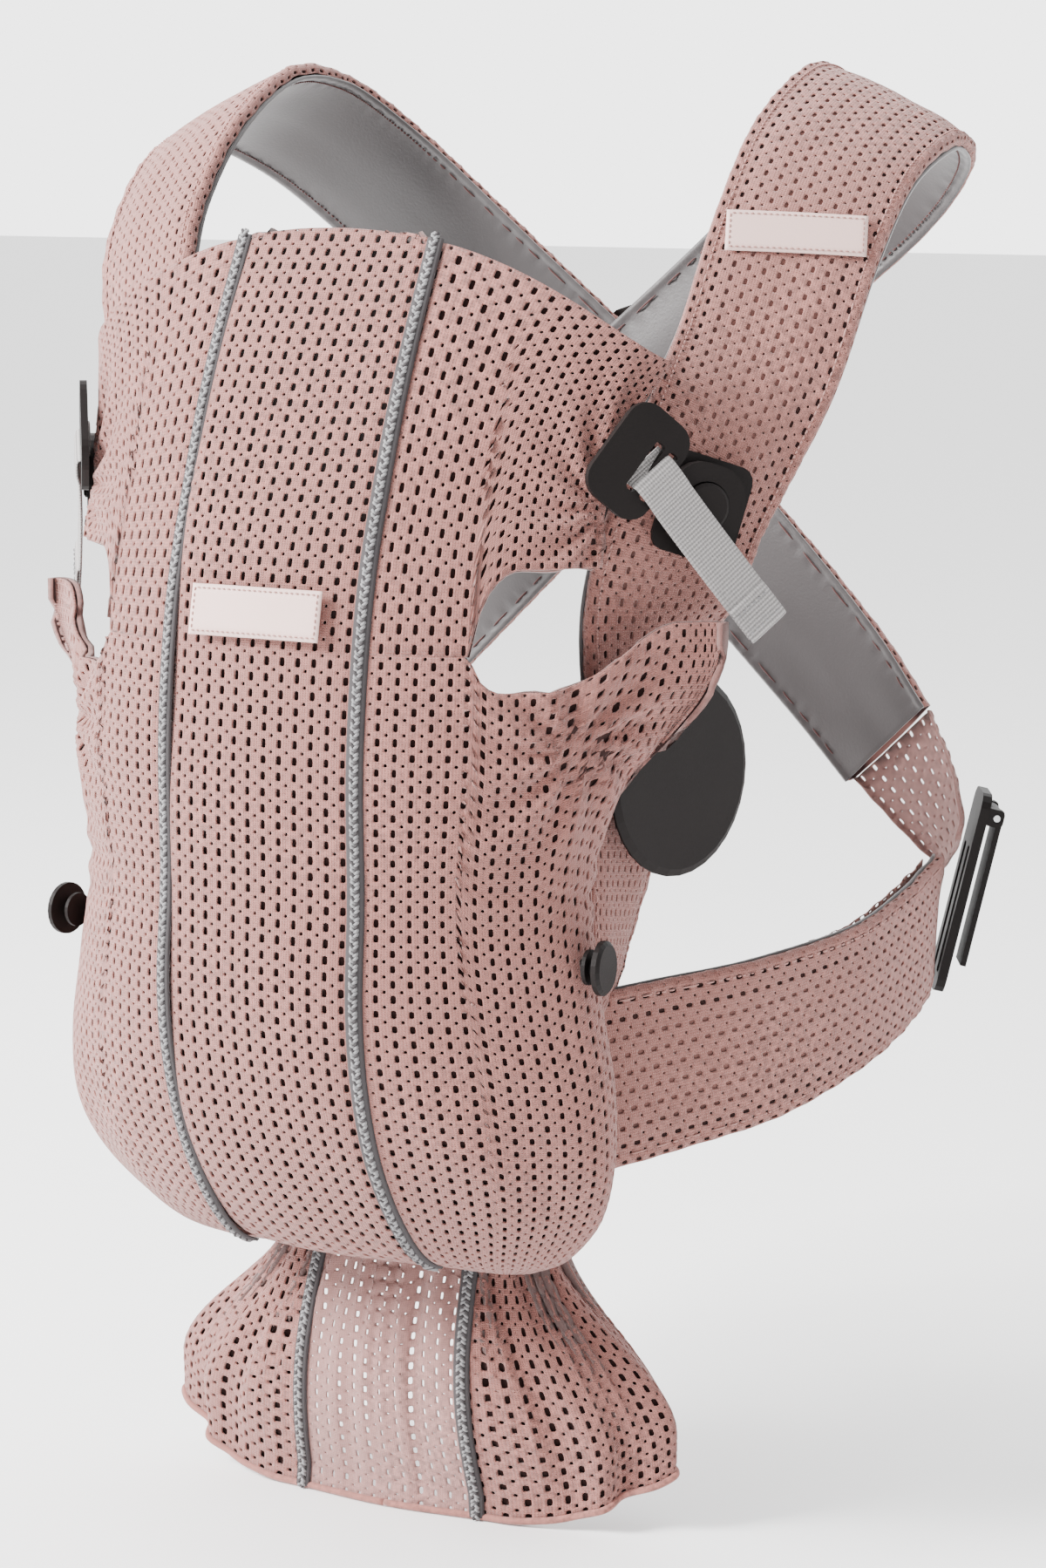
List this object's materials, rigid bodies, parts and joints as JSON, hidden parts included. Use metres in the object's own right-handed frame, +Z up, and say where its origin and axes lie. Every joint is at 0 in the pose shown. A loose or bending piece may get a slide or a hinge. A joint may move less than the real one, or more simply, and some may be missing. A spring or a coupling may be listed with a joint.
{
  "type": "soft baby carrier",
  "caption": "Worn front baby carrier: mesh pouch panel with side limb openings, gathered lower skirt, crossed back straps, waist straps and side adjusters.",
  "frame": {"origin": "centre of the bounding box's bottom face, under the gathered skirt's hem", "axes": "+Z up as worn, -Y the outer face of the front panel, +X the wearer's left"},
  "size_m": [0.3914, 0.3124, 0.5992],
  "materials": {
    "pink_mesh": "three-dimensional warp-knitted mesh, matt",
    "fine_mesh": "thin open mesh, slightly see-through",
    "grey_lining": "smooth woven polyester with a soft sheen",
    "grey_webbing": "ribbed woven webbing",
    "grey_piping": "braided cord",
    "label_tape": "plain woven tape",
    "charcoal_plastic": "fine-grained moulded plastic",
    "steel_pin": "plain"
  },
  "bodies": {
    "root": {"adjuster_frame_l": "charcoal_plastic", "adjuster_frame_r": "charcoal_plastic", "adjuster_pin_l": "steel_pin", "adjuster_pin_r": "steel_pin", "back_strap_l": "pink_mesh", "back_strap_lining_l": "grey_lining", "back_strap_lining_r": "grey_lining", "back_strap_r": "pink_mesh", "chest_strap_l": "pink_mesh", "chest_strap_lining_l": "grey_lining", "chest_strap_lining_r": "grey_lining", "chest_strap_r": "pink_mesh", "cross_guide": "charcoal_plastic", "front_lower_l": "pink_mesh", "front_lower_middle": "pink_mesh", "front_lower_r": "pink_mesh", "hip_disc_l": "charcoal_plastic", "hip_disc_r": "charcoal_plastic", "piping_lower_l": "grey_piping", "piping_lower_r": "grey_piping", "skirt_insert": "fine_mesh", "skirt_piping_l": "grey_piping", "skirt_piping_r": "grey_piping", "skirt_side_l": "pink_mesh", "skirt_side_r": "pink_mesh", "snap_base_l": "charcoal_plastic", "snap_base_r": "charcoal_plastic", "strap_end_l": "fine_mesh", "strap_end_r": "fine_mesh", "strap_label": "label_tape", "toggle_l": "charcoal_plastic", "toggle_r": "charcoal_plastic", "toggle_washer_l": "charcoal_plastic", "toggle_washer_r": "charcoal_plastic", "waist_strap_l": "pink_mesh", "waist_strap_lining_l": "grey_lining", "waist_strap_lining_r": "grey_lining", "waist_strap_r": "pink_mesh", "waist_strap_return_l": "pink_mesh", "waist_strap_return_r": "pink_mesh"},
    "front_top": {"front_label": "label_tape", "front_upper_l": "pink_mesh", "front_upper_middle": "pink_mesh", "front_upper_r": "pink_mesh", "ladder_lock_l": "charcoal_plastic", "ladder_lock_r": "charcoal_plastic", "piping_upper_l": "grey_piping", "piping_upper_r": "grey_piping", "snap_cover_l": "charcoal_plastic", "snap_cover_r": "charcoal_plastic", "webbing_l": "grey_webbing", "webbing_r": "grey_webbing"},
    "snap_button_l": {"snap_button_l": "charcoal_plastic"},
    "snap_button_r": {"snap_button_r": "charcoal_plastic"},
    "adjuster_lever_l": {"adjuster_lever_l": "charcoal_plastic"},
    "adjuster_lever_r": {"adjuster_lever_r": "charcoal_plastic"}
  },
  "joints": [
    {"name": "front_fold", "type": "hinge", "parent": "root", "child": "front_top", "pos_m": [0, -0.151, 0.372], "axis": [1, 0, 0], "range_deg": [0, 95]},
    {"name": "snap_button_l", "type": "slide", "parent": "front_top", "child": "snap_button_l", "axis": [-0.8, 0.6, 0], "range_m": [0, 0.002], "stiffness_N_per_m": 200},
    {"name": "adjuster_lever_l", "type": "hinge", "parent": "root", "child": "adjuster_lever_l", "pos_m": [0.18551, 0.1388, 0.28129], "axis": [0.5, -0.866, 0], "range_deg": [0, 40]},
    {"name": "snap_button_r", "type": "slide", "parent": "front_top", "child": "snap_button_r", "axis": [0.8, 0.6, 0], "range_m": [0, 0.002], "stiffness_N_per_m": 200},
    {"name": "adjuster_lever_r", "type": "hinge", "parent": "root", "child": "adjuster_lever_r", "pos_m": [-0.18551, 0.1388, 0.28129], "axis": [0.5, 0.866, 0], "range_deg": [0, 40]}
  ]
}
